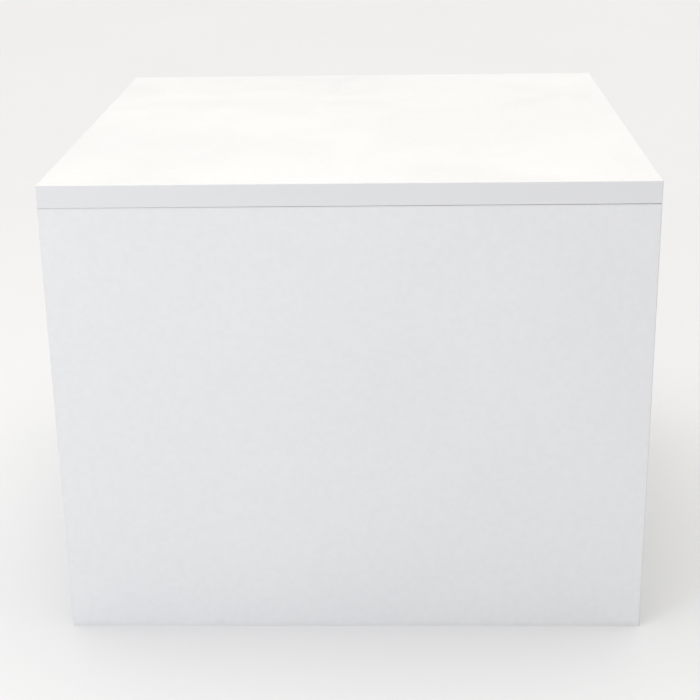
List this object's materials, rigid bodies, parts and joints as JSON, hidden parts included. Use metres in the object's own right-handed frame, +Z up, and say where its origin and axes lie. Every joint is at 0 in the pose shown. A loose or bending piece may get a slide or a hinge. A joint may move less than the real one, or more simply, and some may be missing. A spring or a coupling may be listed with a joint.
{
  "type": "display plinth",
  "caption": "Square white display plinth: a box of melamine-faced board on its panel edges, with a flush lift-off lid located by battens inside the walls.",
  "frame": {"origin": "on the floor, under the middle of the plinth", "axes": "+Z up; +X to the right and +Y to the back, seen from the front, which faces -Y"},
  "size_m": [0.5, 0.5, 0.4],
  "materials": {
    "white_melamine_board": "satin",
    "white_edge_band": "satin",
    "pine_batten": "matte",
    "beech_dowel": "matte",
    "zinc_screw": "satin"
  },
  "bodies": {
    "box": {"back_left_corner_post": "pine_batten", "back_panel": "white_melamine_board", "back_panel_left_band": "white_edge_band", "back_panel_right_band": "white_edge_band", "back_panel_top_band": "white_edge_band", "back_right_corner_post": "pine_batten", "base_panel": "white_melamine_board", "base_panel_screws": "zinc_screw", "bearer_screws": "zinc_screw", "corner_dowels": "beech_dowel", "corner_post_screws": "zinc_screw", "front_left_corner_post": "pine_batten", "front_panel": "white_melamine_board", "front_panel_left_band": "white_edge_band", "front_panel_right_band": "white_edge_band", "front_panel_top_band": "white_edge_band", "front_right_corner_post": "pine_batten", "left_bearer": "pine_batten", "left_panel": "white_melamine_board", "left_panel_top_band": "white_edge_band", "right_bearer": "pine_batten", "right_panel": "white_melamine_board", "right_panel_top_band": "white_edge_band"},
    "lid": {"lid_back_band": "white_edge_band", "lid_back_batten": "pine_batten", "lid_batten_screws": "zinc_screw", "lid_board": "white_melamine_board", "lid_front_band": "white_edge_band", "lid_front_batten": "pine_batten", "lid_left_band": "white_edge_band", "lid_left_batten": "pine_batten", "lid_right_band": "white_edge_band", "lid_right_batten": "pine_batten"}
  },
  "joints": [
    {"name": "lid_lift", "type": "slide", "parent": "box", "child": "lid", "axis": [0, 0, 1], "range_m": [0, 0.3]}
  ]
}
